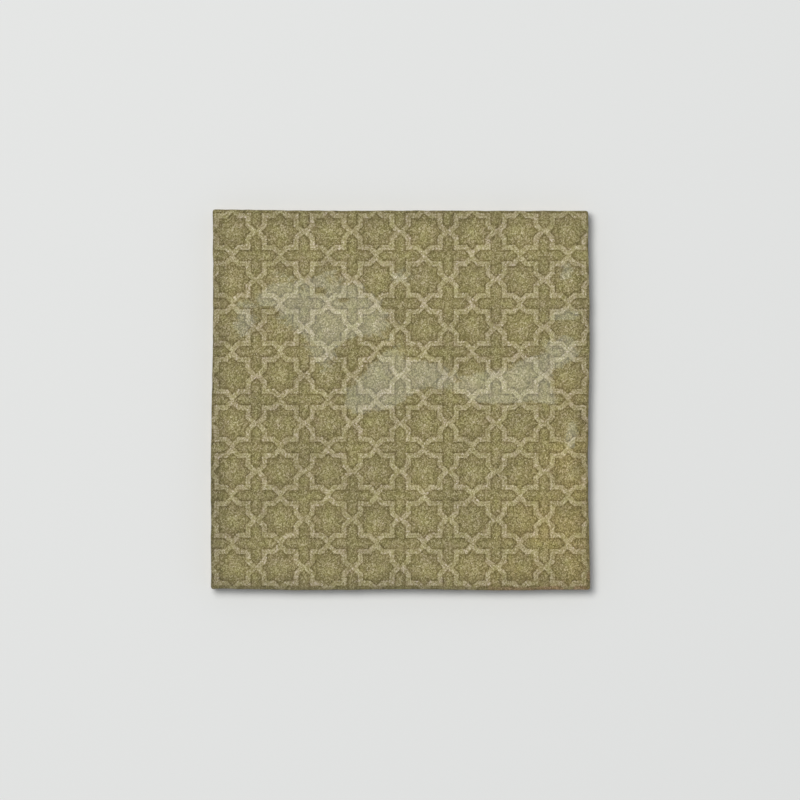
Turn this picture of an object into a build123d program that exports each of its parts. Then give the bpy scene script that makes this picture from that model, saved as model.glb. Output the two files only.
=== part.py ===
from build123d import *

import os
from math import cos, exp, pi, radians, tan

# A square wall tile, pressed, glazed and fired as one piece, with the uneven edges and face of hand work.
# It lies on its back: +Z comes out of the glazed face, and the origin is under the middle of the tile.
# All sizes are in millimetres and angles in degrees.

# Body
WIDTH = 132.0               # along X, mean distance between the left and right edges
LENGTH = 132.8              # along Y, mean distance between the front and rear edges
THICKNESS = 8.5             # from the ribs of the back to the glazed face away from its swells
DRAFT_ANGLE = 2.5           # lean of the sides, which narrow towards the back
CORNER_RADIUS = 0.9         # upright corners
RIM_RADIUS = 0.7            # roll of the glaze over the edge of the face
BACK_CHAMFER = 0.4          # broken edge round the back

# Heights of one, two, three and four half-waves along each side, outwards positive.
# Left and right sides run from front to rear, front and rear sides from left to right.
LEFT_WAVES = (0.43, 0.00, -0.09, 0.03)
RIGHT_WAVES = (0.02, 0.05, 0.27, 0.00)
FRONT_WAVES = (-0.11, -0.02, -0.05, -0.16)
REAR_WAVES = (0.14, 0.07, 0.08, 0.05)
SIDE_STATIONS = 13          # points along a side that its curve passes through

# Low swells of the glazed face: X and Y of the middle, reach along X, reach along Y, height
SWELLS = (
    (-26.0, 17.0, 17.0, 17.0, 0.25),
    (-27.0, 1.0, 9.0, 12.0, 0.23),
    (-13.0, 23.0, 7.0, 7.0, 0.07),
    (-42.0, 27.0, 6.0, 11.0, 0.08),
    (-55.0, 17.0, 5.0, 13.0, 0.12),
    (-6.0, -8.0, 11.0, 18.0, 0.40),
    (-18.0, -9.0, 7.0, 10.0, 0.20),
    (11.0, 3.0, 8.0, 8.0, 0.09),
    (39.0, -3.0, 19.0, 9.0, 0.22),
    (52.0, -6.0, 7.0, 8.0, 0.10),
    (47.0, 5.0, 7.0, 9.0, 0.08),
    (57.0, 11.0, 6.0, 9.0, 0.14),
    (-38.0, -46.0, 26.0, 18.0, 0.12),
    (28.0, -44.0, 24.0, 18.0, 0.10),
    (38.0, 50.0, 30.0, 16.0, -0.04),
)
FACE_STATIONS = 48          # points each way that the glazed face passes through
FACE_TOLERANCE = 0.002      # how close it keeps to them
FACE_MARGIN = 6.0           # how far that surface runs past the edges before it is trimmed
BLANK_ALLOWANCE = 2.0       # stock over the glazed face, which the swells are cut from

# Keyed back for the adhesive
KEY_PITCH = 15.0
KEY_RIB = 2.6               # flat top of a rib between two pockets
KEY_DEPTH = 0.8
KEY_LEAN = 30.0             # lean of a pocket's walls
KEY_BORDER = 5.0            # least width of the flat border round the pockets


def wave(heights, share):
    """Outward offset of a side at a share of its length."""
    return sum(height * cos((order + 1) * pi * share) for order, height in enumerate(heights))


def between(start, end, share):
    """Value at a share of the way from start to end."""
    return start + (end - start) * share


def outline(level):
    """Face inside the four wavy sides at a level, drawn in below the glazed face by the draft."""
    inset = (THICKNESS - level) * tan(radians(DRAFT_ANGLE))
    half_width = WIDTH / 2 - inset
    half_length = LENGTH / 2 - inset

    def left(share):
        return -half_width - wave(LEFT_WAVES, share)

    def right(share):
        return half_width + wave(RIGHT_WAVES, share)

    def front(share):
        return -half_length - wave(FRONT_WAVES, share)

    def rear(share):
        return half_length + wave(REAR_WAVES, share)

    shares = [station / (SIDE_STATIONS - 1) for station in range(SIDE_STATIONS)]
    sides = (
        [(between(left(0), right(0), share), front(share), level) for share in shares],
        [(right(share), between(front(1), rear(1), share), level) for share in shares],
        [(between(left(1), right(1), share), rear(share), level) for share in shares],
        [(left(share), between(front(0), rear(0), share), level) for share in shares],
    )
    return make_face([Spline(*side) for side in sides])


def face_level(x, y):
    """Height of the glazed face over the floor at a place on the tile."""
    level = THICKNESS
    for middle_x, middle_y, reach_x, reach_y, height in SWELLS:
        level += height * exp(-(((x - middle_x) / reach_x) ** 2) - ((y - middle_y) / reach_y) ** 2)
    return level


def under_glaze():
    """Block that fills everything below the swelling surface of the glazed face."""
    reach_x = WIDTH / 2 + FACE_MARGIN
    reach_y = LENGTH / 2 + FACE_MARGIN
    steps = [between(-1, 1, station / (FACE_STATIONS - 1)) for station in range(FACE_STATIONS)]
    places = [[(step_x * reach_x, step_y * reach_y) for step_x in steps] for step_y in steps]
    points = [[(x, y, face_level(x, y)) for x, y in row] for row in places]
    surface = Face.make_surface_from_array_of_points(points, tol=FACE_TOLERANCE, min_deg=3)
    return extrude(surface, amount=2 * THICKNESS, dir=(0, 0, -1))


def key_pockets():
    """Shallow tapered pockets that leave a grid of ribs on the back."""
    inset = THICKNESS * tan(radians(DRAFT_ANGLE)) + KEY_BORDER
    across = int((WIDTH - 2 * inset + KEY_RIB) // KEY_PITCH)
    along = int((LENGTH - 2 * inset + KEY_RIB) // KEY_PITCH)
    mouth = Rectangle(KEY_PITCH - KEY_RIB, KEY_PITCH - KEY_RIB)
    pocket = extrude(mouth, amount=KEY_DEPTH, taper=KEY_LEAN)
    return GridLocations(KEY_PITCH, KEY_PITCH, across, along) * pocket


def make_tile():
    """The whole tile, centred over the origin."""
    blank = loft([outline(0), outline(THICKNESS + BLANK_ALLOWANCE)], ruled=True)
    corners = blank.edges().filter_by(lambda edge: edge.bounding_box().size.Z > THICKNESS)
    blank = fillet(corners, CORNER_RADIUS)
    pressed = blank & under_glaze()
    glazed_face = pressed.faces().sort_by(Axis.Z)[-1]
    pressed = fillet(glazed_face.edges(), RIM_RADIUS)
    back = pressed.faces().sort_by(Axis.Z)[0]
    pressed = chamfer(back.edges(), BACK_CHAMFER)
    pressed -= key_pockets()
    middle = pressed.bounding_box().center()
    return Pos(-middle.X, -middle.Y, 0) * pressed


tile = make_tile()
os.makedirs("parts", exist_ok=True)
export_step(tile, "parts/tile.step")
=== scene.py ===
from math import pi, radians, sqrt, tan

import bpy
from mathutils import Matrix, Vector


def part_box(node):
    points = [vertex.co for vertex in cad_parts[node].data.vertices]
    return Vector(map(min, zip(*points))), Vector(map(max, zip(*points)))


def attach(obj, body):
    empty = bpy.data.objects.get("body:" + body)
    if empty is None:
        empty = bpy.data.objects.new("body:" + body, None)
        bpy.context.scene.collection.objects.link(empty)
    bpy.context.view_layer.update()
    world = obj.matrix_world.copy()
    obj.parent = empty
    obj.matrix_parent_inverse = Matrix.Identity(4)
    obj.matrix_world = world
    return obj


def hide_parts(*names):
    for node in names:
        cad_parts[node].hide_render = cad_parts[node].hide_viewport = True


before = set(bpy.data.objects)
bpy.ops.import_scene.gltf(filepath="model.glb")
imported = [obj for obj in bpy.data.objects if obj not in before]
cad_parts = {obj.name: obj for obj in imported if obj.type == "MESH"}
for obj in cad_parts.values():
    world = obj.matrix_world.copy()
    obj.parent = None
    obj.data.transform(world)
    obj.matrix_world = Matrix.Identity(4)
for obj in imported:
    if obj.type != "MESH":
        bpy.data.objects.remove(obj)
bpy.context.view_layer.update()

bl_info = {
    "name": "Glossy Tile",
    "version": (1, 0, 0),
    "blender": (4, 5, 0),
    "location": "3D View > Sidebar > Tile",
    "description": "Glazed star-and-cross wall tile with hand-made edges, and the stage that it lies on",
    "category": "Add Mesh",
}

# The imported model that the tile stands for
CAD_NODE = "tile"
CAD_BODY = "root"

MM = 0.001

# Low swells of the glazed face in millimetres: X and Y of the middle, reach along X, reach along Y, height
SWELLS = (
    (-26.0, 17.0, 17.0, 17.0, 0.25),
    (-27.0, 1.0, 9.0, 12.0, 0.23),
    (-13.0, 23.0, 7.0, 7.0, 0.07),
    (-42.0, 27.0, 6.0, 11.0, 0.08),
    (-55.0, 17.0, 5.0, 13.0, 0.12),
    (-6.0, -8.0, 11.0, 18.0, 0.40),
    (-18.0, -9.0, 7.0, 10.0, 0.20),
    (11.0, 3.0, 8.0, 8.0, 0.09),
    (39.0, -3.0, 19.0, 9.0, 0.22),
    (52.0, -6.0, 7.0, 8.0, 0.10),
    (47.0, 5.0, 7.0, 9.0, 0.08),
    (57.0, 11.0, 6.0, 9.0, 0.14),
    (-38.0, -46.0, 26.0, 18.0, 0.12),
    (28.0, -44.0, 24.0, 18.0, 0.10),
    (38.0, 50.0, 30.0, 16.0, -0.04),
)

# Small beads of glaze on the face, too slight for the solid, in the same order
BEADS = (
    (0.0, 40.0, 4.0, 4.0, 0.03),
    (58.1, 41.3, 2.4, 4.5, 0.036),
    (57.5, 27.5, 5.0, 3.0, 0.04),
    (59.6, -18.8, 3.2, 9.0, 0.29),
    (-28.0, 39.5, 2.0, 2.0, 0.02),
    (-20.0, 36.5, 2.0, 2.0, 0.02),
    (-46.0, 33.0, 3.0, 3.0, 0.03),
)

# How far the mottling, the slow drift of the hue and the warm corner change red, green and blue
GRAIN_TINT = (1.0, 1.06, 1.72)
DRIFT_TINT = (-0.11, 0.11, -0.68)
WARM_TINT = (0.11, 0.05, -0.08)

# Print: lumps of its strays, of its wear and of the gaps in the band's core, and the noise over which the
# wear and the core set in
STRAY_LUMPS = 9 * MM
WEAR_LUMPS = 2.2 * MM
CORE_LUMPS = 5 * MM
WEAR_RANGE = (0.25, 0.55)
CORE_RANGE = (0.4, 0.6)

# Print: how well a worn band covers, the share of the thin line that is fully dark, and how far from the
# middle of the band a star and a cross reach the tone of their hearts, in shares of the pitch
WORN_COVER = 0.8
LINE_CORE = 0.2
STAR_HEART = 0.31
CROSS_HEART = 0.17

# Mottling: the fleck that leaves the tone as it is, and how much of the grain the band and the sides lose
GRAIN_MEAN = 0.522
GRAIN_LOST_BAND = 0.2
GRAIN_LOST_SIDE = 0.6

# Slow drift of the tone and of the hue: size of the lumps, detail and roughness of the noise
DRIFT_NOISE = (11 * MM, 2.0, 0.55)
HUE_NOISE = (4.5 * MM, 4.0, 0.7)

# Warm corner: lean of its border, where it sets in, its lumps, the noise over which they set in, and how much
# of the warmth is lost on the band
WARM_LEAN = 0.5
WARM_REACH = (42 * MM, 76 * MM)
WARM_LUMPS = 14 * MM
WARM_RANGE = (0.25, 0.55)
WARM_LOST_BAND = 0.45

# Value at the tile's middle, and its change for each metre to the right and to the rear: tone of the face,
# which grows lighter towards the right and the rear, darkening near the edges, strongest at the front and the
# left, and painted shade on the rim, deepest at the front and on the right
FACE_SLOPE = (1.008, 0.5, 0.32)
EDGE_DARK_SLOPE = (1.0, -1.0, -3.0)
RIM_SHADE_SLOPE = (0.36, 1.0, -2.2)

# Painted shade on the roll of the rim: where it fades out, how much further in it does so at the front and at
# the rear, and the factor that brings half the tile's length to about 1
RIM_SHADE_FADE = (0.2 * MM, 1.3 * MM)
RIM_SHADE_FRONT = 0.5 * MM
RIM_SHADE_REAR = 0.15 * MM
RIM_TURN = 15

# Broken glaze at the front edge and at the right edge: where it sets in along the edge and across it, its
# lumps, and the noise over which they set in
BREAK_FRONT = ((24 * MM, 34 * MM), (63 * MM, 64 * MM))
BREAK_RIGHT = ((58 * MM, 62 * MM), (63 * MM, 64 * MM))
BREAK_LUMPS = 4 * MM
BREAK_RANGE = (0.35, 0.55)

# Sides: height over which the print ends, lumps, strays and softness of the line where the glaze ends, and
# width, tone and height of the hem over that line
PRINT_FADE = 0.6 * MM
END_LUMPS = 12 * MM
END_STRAY = 5 * MM
END_SOFT = 0.1 * MM
HEM_WIDTH = 1.2 * MM
HEM_TONE = 0.55
HEM_HEIGHT = 0.12 * MM

# Bare clay: lumps, least value and spread of its tone, size and depth of its pits, and the detail of both
CLAY_LUMPS = 0.7 * MM
CLAY_LEAST = 0.75
CLAY_SPREAD = 0.5
PIT_SIZE = 0.35 * MM
PIT_DEPTH = 0.06 * MM
CLAY_DETAIL = 3.0

# Glaze: how closely its finest waves follow each other along X and Y, their detail, and its refraction index
WAVES_ALONG_X = 1.5
WAVES_ALONG_Y = 0.75
WAVES_DETAIL = 1.0
GLAZE_IOR = 1.5

# Stage: reach of the floor and heights of the lamps in metres, sizes and offsets of the lamps as shares of
# their heights, tints of the light, and the camera's sensor in millimetres
FLOOR_REACH = 4.0
SKY_TINT = (0.96, 1.0, 1.07)
LAMP_HEIGHT = 3.0
LAMP_SIDE = 0.42
LAMP_OFFSET = 0.19
LAMP_TINT = (1.0, 0.985, 0.96)
WINDOW_HEIGHT = 20.0
WINDOW_NEAR = 0.017
WINDOW_FAR = 0.12
WINDOW_WIDTH = 0.24
WINDOW_TINT = (0.89, 1.0, 0.97)
SENSOR_WIDTH = 36.0

# Mesh attribute with the distance from the nearest edge of the face
EDGE_NAME = "from_edge"

# Mesh lines of the tile: round a corner, over half a rib of the back, along a pocket's floor, on the flat
# border of the back, up a side and over the roll of the rim
CORNER_LINES = 6
RIB_LINES = 2
FLOOR_LINES = 14
BORDER_LINES = 6
SIDE_LINES = 5
ROLL_LINES = 7
SMOOTH_ANGLE = radians(32)

# Count of half-waves along a side, and the least radius of an upright corner as a share of its radius
HALF_WAVES = 4
LEAST_CORNER = 0.25

# Largest difference between the tile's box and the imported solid's box
BOX_TOLERANCE = 0.25 * MM


def linear(red, green, blue):
    """Scene colour of an sRGB colour that is written in 0 to 255."""
    shares = [value / 255 for value in (red, green, blue)]
    return tuple(s / 12.92 if s <= 0.04045 else ((s + 0.055) / 1.055) ** 2.4 for s in shares)


def length(name, description, millimetres):
    """Property for a length, shown in scene units."""
    return bpy.props.FloatProperty(
        name=name,
        description=description,
        default=millimetres * MM,
        precision=5,
        subtype="DISTANCE",
        unit="LENGTH",
    )


def angle(name, description, degrees):
    """Property for an angle."""
    return bpy.props.FloatProperty(
        name=name, description=description, default=radians(degrees), subtype="ANGLE", unit="ROTATION"
    )


def waves(side, heights):
    """Property for the half-waves along one side of the tile."""
    return bpy.props.FloatVectorProperty(
        name=side + " Waves",
        description="Heights of one to four half-waves along the side, outwards positive",
        size=HALF_WAVES,
        default=[height * MM for height in heights],
        precision=5,
        unit="LENGTH",
    )


def colour(name, description, *srgb):
    """Property for a colour."""
    return bpy.props.FloatVectorProperty(
        name=name, description=description, size=3, default=linear(*srgb), min=0, max=1, subtype="COLOR"
    )


def share(name, description, value):
    """Property for a plain number from 0 to 1."""
    return bpy.props.FloatProperty(
        name=name, description=description, default=value, min=0, max=1, subtype="FACTOR"
    )


def number(name, description, value):
    """Property for a plain number."""
    return bpy.props.FloatProperty(name=name, description=description, default=value)


def power(name, description, watts):
    """Property for the power of a lamp."""
    return bpy.props.FloatProperty(
        name=name, description=description, default=watts, subtype="POWER", unit="POWER"
    )


class TileShape(bpy.types.PropertyGroup):
    """Sizes of the pressed body, as the solid has them."""

    width: length("Width", "Mean distance between the left and right edges", 132.0)
    depth: length("Length", "Mean distance between the front and rear edges", 132.8)
    thickness: length("Thickness", "From the ribs of the back to the glazed face away from its swells", 8.5)
    draft: angle("Draft", "Lean of the sides", 2.5)
    corner: length("Corner Radius", "Upright corners", 0.9)
    rim: length("Rim Radius", "Roll of the glaze over the edge of the face", 0.7)
    chamfer: length("Back Chamfer", "Broken edge round the back", 0.4)
    left: waves("Left", (0.43, 0.00, -0.09, 0.03))
    right: waves("Right", (0.02, 0.05, 0.27, 0.00))
    front: waves("Front", (-0.11, -0.02, -0.05, -0.16))
    rear: waves("Rear", (0.14, 0.07, 0.08, 0.05))
    key_pitch: length("Key Pitch", "From one rib of the back to the next", 15.0)
    key_rib: length("Key Rib", "Flat top of a rib", 2.6)
    key_depth: length("Key Depth", "Depth of the pockets between the ribs", 0.8)
    key_lean: angle("Key Lean", "Lean of a pocket's walls", 30)
    key_border: length("Key Border", "Least width of the flat border round the pockets", 5.0)
    ripple: length("Ripple", "Height of the fine unevenness of the glaze", 0.010)
    ripple_size: length("Ripple Size", "Width of one ripple of the glaze", 7.0)
    ragged: length("Ragged Edge", "How far the edge strays in and out between its long waves", 0.5)
    ragged_size: length("Ragged Size", "Length of one stray of the edge", 5.0)
    ragged_reach: length("Ragged Reach", "How far into the face the strays reach", 4.0)


class TileGlaze(bpy.types.PropertyGroup):
    """Colours and finish of the print, the glaze and the bare clay, and the painted shade of the rim."""

    pitch: length("Star Pitch", "From one star of the print to the next", 16.78)
    print_x: length("Print X", "How far the print lies to the right of the tile's middle", -0.10)
    print_y: length("Print Y", "How far the print lies behind the tile's middle", 0.18)
    star: share("Star Size", "Half the side of a star's squares, as a share of the pitch", 0.33)
    band_width: length("Band Width", "Width of the pale band round the stars", 1.66)
    line_width: length("Line Width", "Width of the thin dark line beside the band", 0.45)
    soft: length("Print Softness", "Half the width over which one tone of the print turns into another", 0.26)
    shake: length("Print Shake", "How far the print strays from straight lines", 0.12)
    band: colour("Band", "Pale band round the stars", 162, 151, 109)
    band_core: colour("Band Core", "Fainter line along the middle of the band", 144, 133, 93)
    line: colour("Line", "Thin dark line beside the band", 111, 99, 53)
    star_edge: colour("Star Edge", "Star near its band", 127, 116, 69)
    star_heart: colour("Star Heart", "Middle of a star", 145, 135, 87)
    cross_edge: colour("Cross Edge", "Cross away from its middle", 123, 112, 66)
    cross_heart: colour("Cross Heart", "Middle of a cross", 138, 128, 80)
    # Painted shade: the dark olive that darkens the roll of the edge, also the tone of the thicker hem where
    # the glaze ends on the sides
    rim: colour("Rim", "Deeper glaze on the roll of the edge", 100, 93, 52)
    side: colour("Side", "Plain glaze that has run down the sides", 106, 100, 66)
    break_tint: colour("Glaze Break", "Thin glaze where the clay shows through at an edge", 128, 108, 72)
    clay: colour("Clay", "Bare fired body of the back and the lower sides", 184, 170, 150)
    grain: number("Grain", "Strength of the fine mottling", 1.8)
    grain_size: length("Grain Size", "Width of one fleck of the mottling", 0.34)
    drift: share("Drift", "Strength of the slow change of the glaze over the tile", 0.52)
    # Darkening of the face near its edges: its strength, where it starts to fade and how far it reaches
    pool: share("Pool", "How much deeper the glaze is at the edge of the face", 0.165)
    edge_dark_start: length("Pool Start", "How far from the edge that deeper glaze starts to thin out", 1.8)
    edge_dark_reach: length("Pool Reach", "How far that deeper glaze reaches into the face", 7.0)
    wave: length("Glaze Wave", "Height of the finest waves of the glaze", 0.009)
    wave_size: length("Glaze Wave Size", "Width of one of the finest waves", 3.0)
    glaze_line: length("Glaze Line", "Mean height on the sides down to which the glaze runs", 2.4)
    gloss: share("Gloss Roughness", "Roughness of the glaze", 0.025)
    matte: share("Clay Roughness", "Roughness of the bare clay", 0.85)


class TileStage(bpy.types.PropertyGroup):
    """Floor, light and camera."""

    frame_width: length("Frame Width", "Width of the picture at the glazed face", 279.8)
    camera_height: length("Camera Height", "Camera above the glazed face", 8000.0)
    aim_x: length("Aim X", "Where the camera looks, to the right of the tile's middle", -0.16)
    aim_y: length("Aim Y", "Where the camera looks, behind the tile's middle", 0.0)
    floor: colour("Floor", "Pale floor", 226, 227, 226)
    sky: number("Sky", "Strength of the even light from all round", 0.27)
    key: power("Key", "Power of the lamp at the rear left", 75.5)
    window: number("Window", "Brightness of the far panel that the glaze mirrors", 2.0)


class Flow:
    """One value that travels through a node tree. Arithmetic on it adds Math nodes."""

    def __init__(self, nodes, socket):
        self.nodes = nodes
        self.socket = socket

    def __add__(self, other):
        return self.nodes.math("ADD", self, other)

    def __radd__(self, other):
        return self.nodes.math("ADD", other, self)

    def __sub__(self, other):
        return self.nodes.math("SUBTRACT", self, other)

    def __rsub__(self, other):
        return self.nodes.math("SUBTRACT", other, self)

    def __mul__(self, other):
        return self.nodes.math("MULTIPLY", self, other)

    def __rmul__(self, other):
        return self.nodes.math("MULTIPLY", other, self)

    def __truediv__(self, other):
        return self.nodes.math("DIVIDE", self, other)

    def __rtruediv__(self, other):
        return self.nodes.math("DIVIDE", other, self)

    def __neg__(self):
        return self.nodes.math("MULTIPLY", self, -1)

    def __abs__(self):
        return self.nodes.math("ABSOLUTE", self)


class NodeMaker:
    """Adds nodes to one tree."""

    def __init__(self, tree):
        self.tree = tree
        tree.nodes.clear()

    def add(self, kind, settings=None, sockets=None):
        """New node: its settings first, then the values or links of its sockets, named or numbered."""
        node = self.tree.nodes.new(kind)
        for name, value in (settings or {}).items():
            setattr(node, name, value)
        for name, value in (sockets or {}).items():
            self.feed(self.find(node.inputs, name), value)
        return node

    @staticmethod
    def find(sockets, name):
        """Socket by its number, or the one in use by its name."""
        if isinstance(name, int):
            return sockets[name]
        return next(socket for socket in sockets if socket.name == name and socket.enabled)

    def feed(self, socket, value):
        """Links a flow or socket to a socket, or sets its value."""
        if isinstance(value, Flow):
            self.tree.links.new(value.socket, socket)
        elif isinstance(value, bpy.types.NodeSocket):
            self.tree.links.new(value, socket)
        elif socket.type == "RGBA" and len(value) == 3:
            socket.default_value = (*value, 1)
        else:
            socket.default_value = value

    def flow(self, node, name=0):
        """One output of a node as a value to reckon with."""
        return Flow(self, self.find(node.outputs, name))

    def math(self, operation, *values, clamp=False):
        """One Math node."""
        settings = {"operation": operation, "use_clamp": clamp}
        return self.flow(self.add("ShaderNodeMath", settings, dict(enumerate(values))))

    def least(self, *values):
        """Smallest of several values."""
        first, *others = values
        for other in others:
            first = self.math("MINIMUM", first, other)
        return first

    def most(self, *values):
        """Largest of several values."""
        first, *others = values
        for other in others:
            first = self.math("MAXIMUM", first, other)
        return first

    def clamp(self, value):
        """Value held between 0 and 1."""
        return self.math("ADD", value, 0.0, clamp=True)

    def step(self, value, start, end):
        """Smooth rise from 0 at the start to 1 at the end."""
        node = self.add(
            "ShaderNodeMapRange",
            {"interpolation_type": "SMOOTHSTEP"},
            {"Value": value, "From Min": start, "From Max": end},
        )
        return self.flow(node)

    def split(self, vector):
        """X, Y and Z of a vector."""
        node = self.add("ShaderNodeSeparateXYZ", None, {0: vector})
        return [self.flow(node, axis) for axis in range(3)]

    def join(self, x, y, z):
        """Vector of three values."""
        return self.flow(self.add("ShaderNodeCombineXYZ", None, {0: x, 1: y, 2: z}))

    def noise(self, vector, size, detail=2.0, roughness=0.5, output=0):
        """Noise with lumps of about one size, in metres."""
        sockets = {"Vector": vector, "Scale": 1 / size, "Detail": detail, "Roughness": roughness}
        return self.flow(self.add("ShaderNodeTexNoise", None, sockets), output)

    def cells(self, vector, size):
        """Random value for each of many small cells of about one size, in metres."""
        sockets = {"Vector": vector, "Scale": 1 / size}
        return self.flow(self.add("ShaderNodeTexVoronoi", None, sockets), "Color")

    def mix(self, factor, first, second, blend="MIX"):
        """Two colours mixed."""
        settings = {"data_type": "RGBA", "blend_type": blend}
        node = self.add("ShaderNodeMix", settings, {"Factor": factor, "A": first, "B": second})
        return self.flow(node, "Result")


def half_waves(nodes, heights, along):
    """Outward offset of a side at a share of its length."""
    total = 0.0
    for order, height in enumerate(heights):
        total = nodes.math("COSINE", along * ((order + 1) * pi)) * height + total
    return total


def face_swell(nodes, x, y):
    """Height of the swells and beads over the flat face."""
    total = 0.0
    for middle_x, middle_y, reach_x, reach_y, height in SWELLS + BEADS:
        away_x = (x - middle_x * MM) / (reach_x * MM)
        away_y = (y - middle_y * MM) / (reach_y * MM)
        total = nodes.math("EXPONENT", -(away_x * away_x) - away_y * away_y) * (height * MM) + total
    return total


class Lines:
    """Mesh lines across the tile along one axis: their count, and where they lie on the face and the back."""

    def __init__(self, nodes, inputs, place, pockets):
        period = 2 * (RIB_LINES + 1) + FLOOR_LINES
        inner = period * pockets
        self.count = inner + 2 * (BORDER_LINES + CORNER_LINES) + 1
        line = nodes.math("ROUND", (place + 0.5) * (self.count - 1))
        last = self.count - 1 - CORNER_LINES
        self.corner = nodes.clamp((line - last) / CORNER_LINES)
        self.corner = self.corner - nodes.clamp((CORNER_LINES - line) / CORNER_LINES)
        self.even = nodes.clamp((line - CORNER_LINES) / (last - CORNER_LINES)) * 2 - 1
        first_rib = CORNER_LINES + BORDER_LINES
        within = nodes.least(nodes.most(line - first_rib, 0), inner)
        cell = nodes.least(nodes.math("FLOOR", within / period), pockets - 1)
        step = within - cell * period
        floor_start = RIB_LINES + 1
        floor_end = floor_start + FLOOR_LINES
        down = nodes.clamp(step - RIB_LINES)
        up = nodes.clamp(step - floor_end)
        rib = nodes.clamp(step / RIB_LINES) + nodes.clamp((step - floor_end - 1) / RIB_LINES)
        floor = nodes.clamp((step - floor_start) / FLOOR_LINES)
        pitch = inputs["Key Pitch"]
        run = inputs["Key Depth"] * nodes.math("TANGENT", inputs["Key Lean"])
        floor_width = pitch - inputs["Key Rib"] - run * 2
        offset = rib * inputs["Key Rib"] / 2 + (down + up) * run + floor * floor_width
        self.key = (cell - pockets / 2) * pitch + offset
        self.border = nodes.clamp((line - last + BORDER_LINES) / BORDER_LINES)
        self.border = self.border - nodes.clamp((first_rib - line) / BORDER_LINES)
        self.key_reach = pitch * (pockets / 2)
        self.pocket = down - up

    def at(self, half, radius, on_face):
        """Place along the axis before the corner's arc, on a layer of a half width and a corner radius."""
        straight = half - radius
        on_back = self.key + self.border * (straight - self.key_reach)
        return on_back + (self.even * straight - on_back) * on_face


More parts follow.
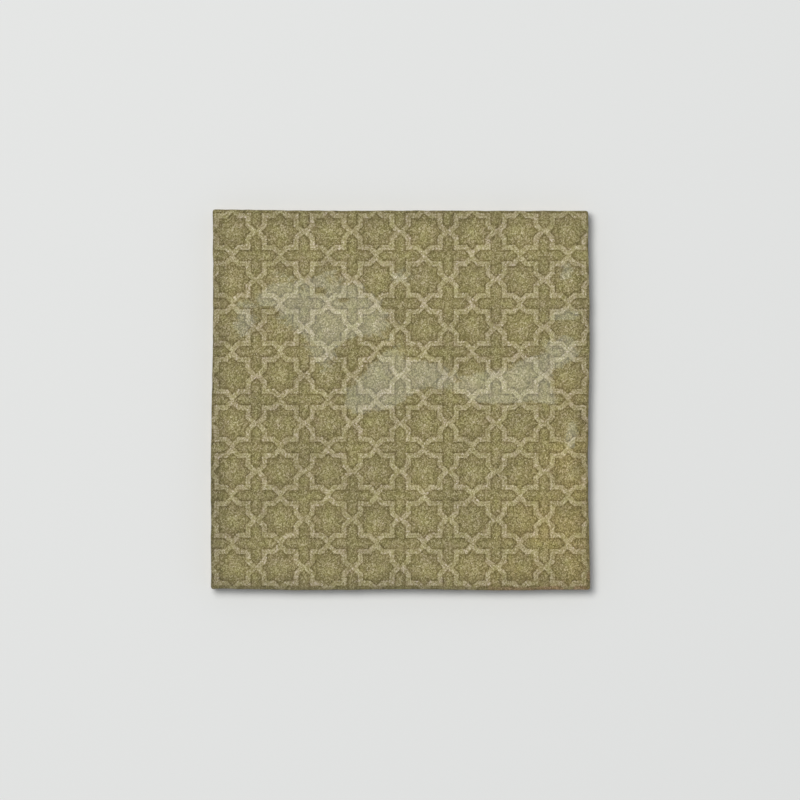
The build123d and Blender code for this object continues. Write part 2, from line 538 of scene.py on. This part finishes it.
def tile_tree(shape, material):
    """Node tree that makes the whole tile from a box by the rule that its outline, face and back follow."""
    tree = bpy.data.node_groups.new("pressed_tile", "GeometryNodeTree")
    nodes = NodeMaker(tree)
    sizes = {
        "Width": shape.width,
        "Length": shape.depth,
        "Thickness": shape.thickness,
        "Draft": shape.draft,
        "Corner Radius": shape.corner,
        "Rim Radius": shape.rim,
        "Back Chamfer": shape.chamfer,
        "Key Pitch": shape.key_pitch,
        "Key Rib": shape.key_rib,
        "Key Depth": shape.key_depth,
        "Key Lean": shape.key_lean,
        "Ripple": shape.ripple,
        "Ripple Size": shape.ripple_size,
        "Ragged": shape.ragged,
        "Ragged Size": shape.ragged_size,
        "Ragged Reach": shape.ragged_reach,
    }
    for side in ("Left", "Right", "Front", "Rear"):
        for order, height in enumerate(getattr(shape, side.lower())):
            sizes[f"{side} Wave {order + 1}"] = height
    sockets = {}
    for name in sizes:
        sockets[name] = tree.interface.new_socket(name=name, in_out="INPUT", socket_type="NodeSocketFloat")
    tree.interface.new_socket(name="Geometry", in_out="OUTPUT", socket_type="NodeSocketGeometry")
    group = nodes.add("NodeGroupInput")
    inputs = {name: nodes.flow(group, name) for name in sizes}

    def side_waves(side):
        return [inputs[f"{side} Wave {order + 1}"] for order in range(HALF_WAVES)]

    inset_back = shape.thickness * tan(shape.draft) + shape.key_border
    pockets_x = int((shape.width - 2 * inset_back + shape.key_rib) // shape.key_pitch)
    pockets_y = int((shape.depth - 2 * inset_back + shape.key_rib) // shape.key_pitch)
    x, y, z = nodes.split(nodes.flow(nodes.add("GeometryNodeInputPosition")))
    lines_x = Lines(nodes, inputs, x, pockets_x)
    lines_y = Lines(nodes, inputs, y, pockets_y)
    layers = 1 + SIDE_LINES + ROLL_LINES
    layer = nodes.math("ROUND", (z + 0.5) * layers)

    # Outline of each layer: up the chamfer, up the leaning side and over the roll of the rim
    chamfer = nodes.clamp(layer)
    side = nodes.clamp((layer - 1) / SIDE_LINES)
    turn = nodes.clamp((layer - 1 - SIDE_LINES) / ROLL_LINES) * (pi / 2)
    thickness = inputs["Thickness"]
    rim = inputs["Rim Radius"]
    broken = inputs["Back Chamfer"]
    level = broken * chamfer + (thickness - rim - broken) * side + rim * nodes.math("SINE", turn)
    lean = (thickness - level) * nodes.math("TANGENT", inputs["Draft"])
    inset = lean + broken * (1 - chamfer) + rim * (1 - nodes.math("COSINE", turn))
    radius = nodes.most(inputs["Corner Radius"] - inset, inputs["Corner Radius"] * LEAST_CORNER)
    half_x = inputs["Width"] / 2 - inset
    half_y = inputs["Length"] / 2 - inset
    on_face = nodes.clamp(layer / SIDE_LINES)

    # Straight sides with round corners, then the waves of the sides, which are spread over the face and the
    # border of the back, and the strays of the edge
    arc_x = nodes.math("SQRT", 1 - lines_y.corner * lines_y.corner / 2)
    arc_y = nodes.math("SQRT", 1 - lines_x.corner * lines_x.corner / 2)
    flat_x = lines_x.at(half_x, radius, on_face) + radius * lines_x.corner * arc_x
    flat_y = lines_y.at(half_y, radius, on_face) + radius * lines_y.corner * arc_y
    share_x = flat_x / half_x / 2 + 0.5
    share_y = flat_y / half_y / 2 + 0.5
    left = half_waves(nodes, side_waves("Left"), share_y)
    right = half_waves(nodes, side_waves("Right"), share_y)
    front = half_waves(nodes, side_waves("Front"), share_x)
    rear = half_waves(nodes, side_waves("Rear"), share_x)
    from_edge = nodes.least(inputs["Width"] / 2 - abs(flat_x), inputs["Length"] / 2 - abs(flat_y))
    spot = nodes.join((share_x - 0.5) * inputs["Width"], (share_y - 0.5) * inputs["Length"], level)
    stray_x, stray_y, _ = nodes.split(nodes.noise(spot, inputs["Ragged Size"], output="Color"))
    stray = inputs["Ragged"] * (1 - nodes.step(from_edge, 0.0, inputs["Ragged Reach"]))
    held_x = on_face + (1 - on_face) * abs(lines_x.border)
    held_y = on_face + (1 - on_face) * abs(lines_y.border)
    placed_x = flat_x + (share_x * right - (1 - share_x) * left) * held_x + stray * (stray_x - 0.5)
    placed_y = flat_y + (share_y * rear - (1 - share_y) * front) * held_y + stray * (stray_y - 0.5)

    # Swells and ripples of the face, which fade down the sides, and the pockets of the back
    ripple = (nodes.noise(spot, inputs["Ripple Size"]) - 0.5) * inputs["Ripple"]
    swell = (face_swell(nodes, placed_x, placed_y) + ripple) * level / thickness
    pocket = nodes.least(lines_x.pocket, lines_y.pocket) * inputs["Key Depth"] * (1 - nodes.clamp(layer))
    box = nodes.add(
        "GeometryNodeMeshCube",
        None,
        {
            "Size": (1.0, 1.0, 1.0),
            "Vertices X": lines_x.count,
            "Vertices Y": lines_y.count,
            "Vertices Z": layers + 1,
        },
    )
    marked = nodes.add(
        "GeometryNodeStoreNamedAttribute",
        {"data_type": "FLOAT", "domain": "POINT"},
        {"Geometry": box.outputs["Mesh"], "Name": EDGE_NAME, "Value": from_edge},
    )
    moved = nodes.add(
        "GeometryNodeSetPosition",
        None,
        {"Geometry": marked.outputs[0], "Position": nodes.join(placed_x, placed_y, level + swell + pocket)},
    )
    reach = nodes.add("GeometryNodeBoundBox", None, {"Geometry": moved.outputs[0]})
    low = nodes.split(reach.outputs["Min"])
    high = nodes.split(reach.outputs["Max"])
    middle = nodes.join((low[0] + high[0]) / -2, (low[1] + high[1]) / -2, 0.0)
    centred = nodes.add("GeometryNodeSetPosition", None, {"Geometry": moved.outputs[0], "Offset": middle})
    bend = nodes.flow(nodes.add("GeometryNodeInputMeshEdgeAngle"), "Unsigned Angle")
    smooth = nodes.add(
        "GeometryNodeSetShadeSmooth",
        {"domain": "EDGE"},
        {"Geometry": centred.outputs[0], "Shade Smooth": nodes.math("LESS_THAN", bend, SMOOTH_ANGLE)},
    )
    real = nodes.add("GeometryNodeRealizeInstances", None, {"Geometry": smooth.outputs[0]})
    dressed = {"Geometry": real.outputs[0], "Material": material}
    finished = nodes.add("GeometryNodeSetMaterial", None, dressed)
    nodes.add("NodeGroupOutput", None, {"Geometry": finished.outputs[0]})
    return tree, {sockets[name].identifier: value for name, value in sizes.items()}


def mesh_from_tree(name, tree, values):
    """Plain mesh piece that a node tree makes."""
    source = bpy.data.objects.new(name + "_source", bpy.data.meshes.new(name + "_source"))
    bpy.context.scene.collection.objects.link(source)
    modifier = source.modifiers.new("make", "NODES")
    modifier.node_group = tree
    for identifier, value in values.items():
        modifier[identifier] = value
    evaluated = source.evaluated_get(bpy.context.evaluated_depsgraph_get())
    mesh = bpy.data.meshes.new_from_object(evaluated)
    mesh.name = name
    source.modifiers.remove(modifier)
    bpy.data.objects.remove(source)
    piece = bpy.data.objects.new(name, mesh)
    bpy.context.scene.collection.objects.link(piece)
    return piece


def star_fold(nodes, glaze, x, y):
    """How far a place lies outside the star and from the middle of a band, in shares of the pitch."""
    fold_x = abs(nodes.math("FRACT", x / glaze.pitch) - 0.5)
    fold_y = abs(nodes.math("FRACT", y / glaze.pitch) - 0.5)

    def star(across, along):
        square = nodes.most(across, along)
        diamond = (across + along) / sqrt(2)
        return nodes.least(square, diamond) - glaze.star

    outside = star(fold_x, fold_y)
    from_band = nodes.least(abs(outside), abs(star(1 - fold_x, fold_y)), abs(star(fold_x, 1 - fold_y)))
    return outside, from_band


def printed_tone(nodes, glaze, place):
    """Colour of the print, stars and crosses between pale bands, and how far the band covers the place."""
    x, y, z = nodes.split(place)
    shake_x = (nodes.noise(place, STRAY_LUMPS) - 0.5) * glaze.shake - glaze.print_x
    shake_y = (nodes.noise(nodes.join(y, x, z), STRAY_LUMPS) - 0.5) * glaze.shake - glaze.print_y
    outside, from_band = star_fold(nodes, glaze, x + shake_x, y + shake_y)
    half_band = glaze.band_width / 2 / glaze.pitch
    soft = glaze.soft / glaze.pitch
    line = glaze.line_width / glaze.pitch
    star = nodes.mix(nodes.step(-outside, half_band, STAR_HEART), glaze.star_edge, glaze.star_heart)
    cross = nodes.mix(nodes.step(from_band, half_band, CROSS_HEART), glaze.cross_edge, glaze.cross_heart)
    tone = nodes.mix(nodes.step(outside, -soft, soft), star, cross)
    beside = 1 - nodes.step(abs(from_band - half_band - line / 2), line * LINE_CORE, line)
    tone = nodes.mix(beside, tone, glaze.line)
    unworn = nodes.step(nodes.noise(place, WEAR_LUMPS), *WEAR_RANGE)
    core = (1 - nodes.step(from_band, 0.0, soft)) * nodes.step(nodes.noise(place, CORE_LUMPS), *CORE_RANGE)
    band = nodes.mix(core, glaze.band, glaze.band_core)
    covered = 1 - nodes.step(from_band, half_band - soft, half_band + soft)
    return nodes.mix(covered * (WORN_COVER + (1 - WORN_COVER) * unworn), tone, band), covered


def leaning(slope, x, y):
    """Value that changes evenly over the tile."""
    middle, along_x, along_y = slope
    return middle + along_x * x + along_y * y


def fired_and_shaded_tone(nodes, glaze, tone, covered, below, place, edge):
    """Colour after firing: mottled, drifting over the tile, darker near the edges and broken at one corner,
    with painted shade on the roll of the rim, deepest at the front and on the right.
    """
    x, y, z = nodes.split(place)
    kept = (1 - GRAIN_LOST_BAND * covered) * (1 - GRAIN_LOST_SIDE * below)
    fleck = (nodes.cells(place, glaze.grain_size) - GRAIN_MEAN) * kept * glaze.grain
    drift = nodes.noise(place, *DRIFT_NOISE) - 0.5
    hue = nodes.noise(nodes.join(y, z, x), *HUE_NOISE) - 0.5
    warm = nodes.step(nodes.noise(place, WARM_LUMPS), *WARM_RANGE) * (1 - WARM_LOST_BAND * covered)
    warm = nodes.step(x - WARM_LEAN * y, *WARM_REACH) * warm
    # Darker near the edges of the face, most at the front and on the left
    near_edge = 1 - nodes.step(edge, glaze.edge_dark_start, glaze.edge_dark_reach)
    edge_darkening = near_edge * leaning(EDGE_DARK_SLOPE, x, y) * glaze.pool
    shade = (1 - edge_darkening) * (leaning(FACE_SLOPE, x, y) + drift * glaze.drift)
    tint = [
        shade * (1 + hue * by_hue + warm * by_warm) * nodes.math("EXPONENT", fleck * by_grain)
        for by_grain, by_hue, by_warm in zip(GRAIN_TINT, DRIFT_TINT, WARM_TINT)
    ]
    further_in = nodes.clamp(-RIM_TURN * y) * RIM_SHADE_FRONT + nodes.clamp(RIM_TURN * y) * RIM_SHADE_REAR
    roll = (1 - nodes.step(edge - further_in, *RIM_SHADE_FADE)) * (1 - below)
    front_along, front_across = BREAK_FRONT
    right_along, right_across = BREAK_RIGHT
    front = nodes.step(x, *front_along) * nodes.step(-y, *front_across)
    right = nodes.step(-y, *right_along) * nodes.step(x, *right_across)
    broken = nodes.most(front, right) * nodes.step(nodes.noise(place, BREAK_LUMPS), *BREAK_RANGE)
    # Painted shade on the roll of the rim, deepest at the front and on the right
    tone = nodes.mix(roll * leaning(RIM_SHADE_SLOPE, x, y), tone, glaze.rim)
    tone = nodes.mix(roll * broken, tone, glaze.break_tint)
    return nodes.mix(1.0, tone, nodes.join(*tint), "MULTIPLY")


def glaze_material(glaze, print_end):
    """Star-and-cross print under glossy glaze on top, down to a height on the sides, and bare clay below."""
    material = bpy.data.materials.new("star_cross_glaze")
    material.use_nodes = True
    nodes = NodeMaker(material.node_tree)
    place = nodes.flow(nodes.add("ShaderNodeTexCoord"), "Object")
    x, y, z = nodes.split(place)
    edge = nodes.flow(nodes.add("ShaderNodeAttribute", {"attribute_name": EDGE_NAME}), "Fac")
    tone, covered = printed_tone(nodes, glaze, place)
    below = nodes.step(-z, -print_end, -print_end + PRINT_FADE)
    tone = nodes.mix(below, tone, glaze.side)
    tone = fired_and_shaded_tone(nodes, glaze, tone, covered, below, place, edge)

    # Bare clay on the back and the lower sides, below an uneven line where the glaze ends in a thicker hem
    over = z - glaze.glaze_line - (nodes.noise(place, END_LUMPS) - 0.5) * END_STRAY
    glazed = nodes.step(over, -END_SOFT, END_SOFT)
    hem = glazed * (1 - nodes.step(over, END_SOFT, HEM_WIDTH))
    tone = nodes.mix(hem * HEM_TONE, tone, glaze.rim)
    clay_shade = CLAY_LEAST + nodes.noise(place, CLAY_LUMPS, CLAY_DETAIL) * CLAY_SPREAD
    clay = nodes.mix(1.0, glaze.clay, nodes.join(clay_shade, clay_shade, clay_shade), "MULTIPLY")
    pits = nodes.noise(place, PIT_SIZE, CLAY_DETAIL) * PIT_DEPTH
    crowded = nodes.join(WAVES_ALONG_X * x, WAVES_ALONG_Y * y, z)
    waves_up = nodes.noise(crowded, glaze.wave_size, WAVES_DETAIL) * glaze.wave
    height = pits + (waves_up - pits) * glazed + hem * HEM_HEIGHT
    bump = nodes.add("ShaderNodeBump", None, {"Strength": 1.0, "Distance": 1.0, "Height": height})
    shader = nodes.add(
        "ShaderNodeBsdfPrincipled",
        None,
        {
            "Base Color": nodes.mix(glazed, clay, tone),
            "Roughness": glaze.matte + (glaze.gloss - glaze.matte) * glazed,
            "Normal": bump.outputs[0],
            "IOR": GLAZE_IOR,
        },
    )
    nodes.add("ShaderNodeOutputMaterial", None, {"Surface": shader.outputs[0]})
    return material


def plain_material(name, tint):
    """Matte colour for the floor."""
    material = bpy.data.materials.new(name)
    material.use_nodes = True
    nodes = NodeMaker(material.node_tree)
    shader = nodes.add("ShaderNodeBsdfDiffuse", None, {"Color": tuple(tint)})
    nodes.add("ShaderNodeOutputMaterial", None, {"Surface": shader.outputs[0]})
    return material


class MakeTile(bpy.types.Operator):
    """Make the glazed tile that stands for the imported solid"""

    bl_idname = "glossy_tile.make_tile"
    bl_label = "Make Tile"

    def execute(self, context):
        shape = context.scene.tile_shape
        material = glaze_material(context.scene.tile_glaze, shape.thickness - shape.rim)
        tree, values = tile_tree(shape, material)
        tile = mesh_from_tree("glazed_tile", tree, values)
        self.compare(tile)
        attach(tile, CAD_BODY)
        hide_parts(CAD_NODE)
        return {"FINISHED"}

    @staticmethod
    def compare(tile):
        """Stops the script if the tile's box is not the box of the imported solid."""
        low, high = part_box(CAD_NODE)
        for axis, name in enumerate("XYZ"):
            reach = [corner[axis] for corner in tile.bound_box]
            if max(abs(min(reach) - low[axis]), abs(max(reach) - high[axis])) > BOX_TOLERANCE:
                raise RuntimeError(f"The tile and the packed solid differ along {name}")


class MakeStage(bpy.types.Operator):
    """Make the floor, the lamps, the sky and the camera"""

    bl_idname = "glossy_tile.make_stage"
    bl_label = "Make Stage"

    def execute(self, context):
        stage = context.scene.tile_stage
        self.make_floor(stage)
        self.make_sky(context.scene, stage)
        self.make_lamps(stage)
        self.make_camera(context.scene, stage)
        context.scene.view_settings.view_transform = "Standard"
        return {"FINISHED"}

    @staticmethod
    def make_floor(stage):
        """Pale floor that the tile lies on."""
        mesh = bpy.data.meshes.new("floor")
        corners = [(x * FLOOR_REACH, y * FLOOR_REACH, 0) for x, y in ((-1, -1), (1, -1), (1, 1), (-1, 1))]
        mesh.from_pydata(corners, [], [(0, 1, 2, 3)])
        mesh.materials.append(plain_material("pale_floor", stage.floor))
        floor = bpy.data.objects.new("floor", mesh)
        bpy.context.scene.collection.objects.link(floor)

    @staticmethod
    def make_sky(scene, stage):
        """Even light from all round, which the camera and the glaze see as a pale backdrop."""
        world = bpy.data.worlds.new("even_sky")
        world.use_nodes = True
        nodes = NodeMaker(world.node_tree)
        path = nodes.add("ShaderNodeLightPath")
        rays = ("Camera", "Glossy", "Transmission")
        seen = nodes.most(*[nodes.flow(path, f"Is {ray} Ray") for ray in rays])
        backdrop = nodes.add("ShaderNodeBackground", None, {"Color": tuple(stage.floor), "Strength": 1.0})
        light = nodes.add("ShaderNodeBackground", None, {"Color": SKY_TINT, "Strength": stage.sky})
        mixed = {0: seen, 1: light.outputs[0], 2: backdrop.outputs[0]}
        both = nodes.add("ShaderNodeMixShader", None, mixed)
        nodes.add("ShaderNodeOutputWorld", None, {"Surface": both.outputs[0]})
        scene.world = world

    @staticmethod
    def make_lamps(stage):
        """Key lamp at the rear left, and a far panel that the swells of the glaze mirror."""

        def lamp(name, place, aim, width, depth, watts, tint):
            data = bpy.data.lights.new(name, "AREA")
            data.shape = "RECTANGLE"
            data.size = width
            data.size_y = depth
            data.energy = watts
            data.color = tint
            made = bpy.data.objects.new(name, data)
            made.location = place
            made.rotation_mode = "QUATERNION"
            made.rotation_quaternion = (Vector(aim) - Vector(place)).to_track_quat("-Z", "Y")
            made.visible_camera = False
            bpy.context.scene.collection.objects.link(made)
            return made

        # The key lamp covers the directions from straight above to the slope that the shadow's end shows
        side = LAMP_SIDE * LAMP_HEIGHT
        off = LAMP_OFFSET * LAMP_HEIGHT
        key = lamp("key_lamp", (-off, off, LAMP_HEIGHT), (0, 0, 0), side, side, stage.key, LAMP_TINT)
        key.visible_glossy = False

        # The panel covers the directions that only the slopes of the swells turn towards the camera
        width = WINDOW_WIDTH * WINDOW_HEIGHT
        depth = (WINDOW_FAR - WINDOW_NEAR) * WINDOW_HEIGHT
        middle = (WINDOW_FAR + WINDOW_NEAR) / 2 * WINDOW_HEIGHT
        place = (0, middle, WINDOW_HEIGHT)
        watts = stage.window * pi * width * depth
        lamp("window_panel", place, (0, middle, 0), width, depth, watts, WINDOW_TINT)

    @staticmethod
    def make_camera(scene, stage):
        """Camera that looks straight down on the glazed face."""
        data = bpy.data.cameras.new("camera")
        data.sensor_width = SENSOR_WIDTH
        data.lens = data.sensor_width * stage.camera_height / stage.frame_width
        data.clip_end = 2 * stage.camera_height
        camera = bpy.data.objects.new("camera", data)
        top = scene.tile_shape.thickness
        camera.location = (stage.aim_x, stage.aim_y, top + stage.camera_height)
        scene.collection.objects.link(camera)
        scene.camera = camera


class TilePanel(bpy.types.Panel):
    """Tile sizes, finish and stage"""

    bl_idname = "VIEW3D_PT_glossy_tile"
    bl_label = "Glossy Tile"
    bl_space_type = "VIEW_3D"
    bl_region_type = "UI"
    bl_category = "Tile"

    def draw(self, context):
        layout = self.layout
        scene = context.scene
        groups = ((MakeTile, (scene.tile_shape, scene.tile_glaze)), (MakeStage, (scene.tile_stage,)))
        for operator, settings in groups:
            box = layout.box()
            box.operator(operator.bl_idname)
            for group in settings:
                for name in group.__annotations__:
                    box.prop(group, name)


CLASSES = (TileShape, TileGlaze, TileStage, MakeTile, MakeStage, TilePanel)
SETTINGS = {"tile_shape": TileShape, "tile_glaze": TileGlaze, "tile_stage": TileStage}


def register():
    """Add the classes, and the settings of the scene."""
    for made in CLASSES:
        bpy.utils.register_class(made)
    for name, group in SETTINGS.items():
        setattr(bpy.types.Scene, name, bpy.props.PointerProperty(type=group))


def unregister():
    """Take the settings and the classes away again."""
    for name in SETTINGS:
        delattr(bpy.types.Scene, name)
    for made in reversed(CLASSES):
        bpy.utils.unregister_class(made)


def main():
    """Make the tile and its stage."""
    register()
    bpy.ops.glossy_tile.make_tile()
    bpy.ops.glossy_tile.make_stage()


if __name__ == "__main__":
    main()
